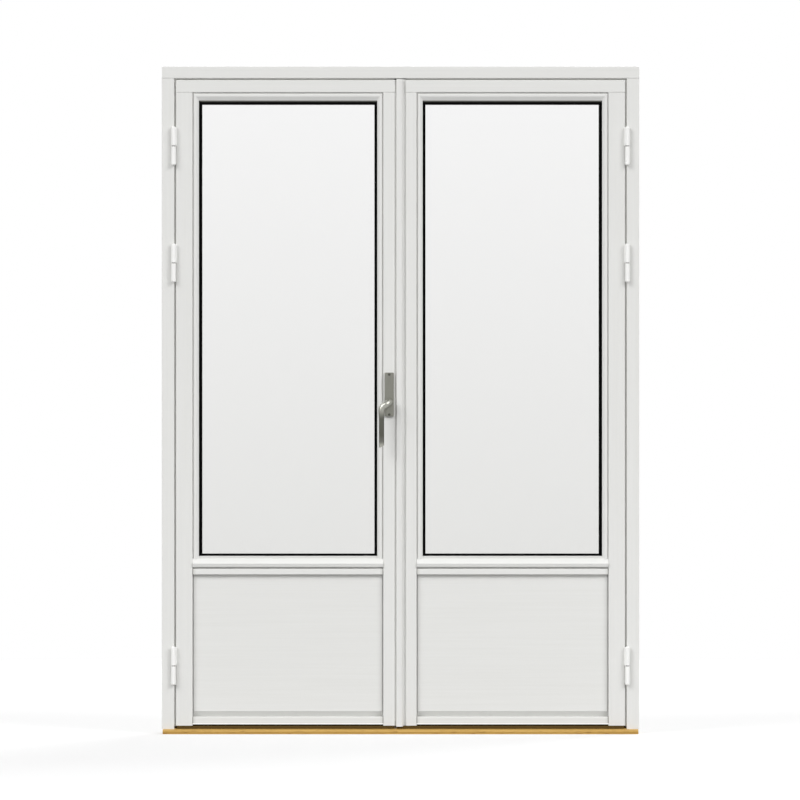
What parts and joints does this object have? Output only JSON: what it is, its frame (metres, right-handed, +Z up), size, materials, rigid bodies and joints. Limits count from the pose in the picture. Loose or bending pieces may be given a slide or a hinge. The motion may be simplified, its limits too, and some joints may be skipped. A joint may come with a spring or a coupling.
{
  "type": "french doors",
  "caption": "Pair of white glazed french doors with a low solid panel, hung in a frame on a hardwood sill, with lift-off hinges, an astragal and a cranked lever handle that drives edge bolts.",
  "frame": {"origin": "middle of the sill's underside: half of the frame's width, half of the frame's depth, on the floor", "axes": "+X to the right seen from outside, +Y from the outside to the room, +Z up"},
  "size_m": [1.49, 0.164, 2.083],
  "materials": {
    "painted_timber": "white satin paint on timber",
    "oiled_hardwood": "clear oiled hardwood",
    "black_rubber": "black rubber seal",
    "pale_rubber": "pale grey rubber strip",
    "clear_glass": "clear float glass",
    "spacer_metal": "black spacer bar",
    "white_steel": "white powder coat",
    "bright_steel": "zinc plated steel",
    "satin_metal": "satin nickel",
    "nylon": "white nylon"
  },
  "bodies": {
    "frame": {"frame_head": "painted_timber", "left_jamb": "painted_timber", "right_jamb": "painted_timber", "sill": "oiled_hardwood", "frame_seal": "black_rubber", "weather_strip": "pale_rubber", "bolt_keeps": "bright_steel", "left_frame_hinges": "white_steel", "right_frame_hinges": "white_steel", "hinge_pins": "bright_steel", "hinge_washers": "nylon"},
    "left_leaf": {"left_top_rail": "painted_timber", "left_hinge_stile": "painted_timber", "left_meeting_stile": "painted_timber", "left_mid_rail": "painted_timber", "left_bottom_rail": "painted_timber", "left_panel": "painted_timber", "left_bottom_bead": "painted_timber", "left_hinge_bead": "painted_timber", "left_meeting_bead": "painted_timber", "left_top_bead": "painted_timber", "left_outer_pane": "clear_glass", "left_inner_pane": "clear_glass", "left_spacer": "spacer_metal", "left_outer_gasket": "black_rubber", "left_inner_gasket": "black_rubber", "left_bottom_seal": "black_rubber", "left_leaf_hinges": "white_steel", "lock_case": "bright_steel", "lock_faceplate": "bright_steel", "outer_handle_plate": "satin_metal", "inner_handle_plate": "satin_metal", "plate_screws": "bright_steel"},
    "right_leaf": {"right_top_rail": "painted_timber", "right_hinge_stile": "painted_timber", "right_meeting_stile": "painted_timber", "right_mid_rail": "painted_timber", "right_bottom_rail": "painted_timber", "right_panel": "painted_timber", "right_bottom_bead": "painted_timber", "right_hinge_bead": "painted_timber", "right_meeting_bead": "painted_timber", "right_top_bead": "painted_timber", "right_outer_pane": "clear_glass", "right_inner_pane": "clear_glass", "right_spacer": "spacer_metal", "right_outer_gasket": "black_rubber", "right_inner_gasket": "black_rubber", "right_bottom_seal": "black_rubber", "right_leaf_hinges": "white_steel", "astragal": "painted_timber", "meeting_seal": "pale_rubber", "edge_bolt_plates": "bright_steel"},
    "handle": {"outer_lever": "satin_metal", "inner_lever": "satin_metal", "spindle": "bright_steel"},
    "upper_rod": {"upper_rod": "bright_steel"},
    "lower_rod": {"lower_rod": "bright_steel"},
    "upper_edge_bolt": {"upper_edge_bolt": "bright_steel"},
    "lower_edge_bolt": {"lower_edge_bolt": "bright_steel"}
  },
  "joints": [
    {"name": "left_leaf_swing", "type": "hinge", "parent": "frame", "child": "left_leaf", "pos_m": [-0.708, -0.061, 0], "axis": [0, 0, -1], "range_deg": [0, 170]},
    {"name": "right_leaf_swing", "type": "hinge", "parent": "frame", "child": "right_leaf", "pos_m": [0.708, -0.061, 0], "axis": [0, 0, 1], "range_deg": [0, 170]},
    {"name": "lever_turn", "type": "hinge", "parent": "left_leaf", "child": "handle", "pos_m": [-0.035, 0, 1.036], "axis": [0, 1, 0], "range_deg": [0, 90]},
    {"name": "upper_rod_slide", "type": "slide", "parent": "left_leaf", "child": "upper_rod", "axis": [0, 0, 1], "range_m": [0, 0.018]},
    {"name": "lower_rod_slide", "type": "slide", "parent": "left_leaf", "child": "lower_rod", "axis": [0, 0, -1], "range_m": [0, 0.018]},
    {"name": "upper_edge_bolt_slide", "type": "slide", "parent": "right_leaf", "child": "upper_edge_bolt", "axis": [0, 0, 1], "range_m": [0, 0.018]},
    {"name": "lower_edge_bolt_slide", "type": "slide", "parent": "right_leaf", "child": "lower_edge_bolt", "axis": [0, 0, -1], "range_m": [0, 0.018]}
  ],
  "couplings": [
    {"joint": "upper_rod_slide", "follows": "lever_turn", "m_per_rad": 0.011459},
    {"joint": "lower_rod_slide", "follows": "lever_turn", "m_per_rad": 0.011459}
  ]
}
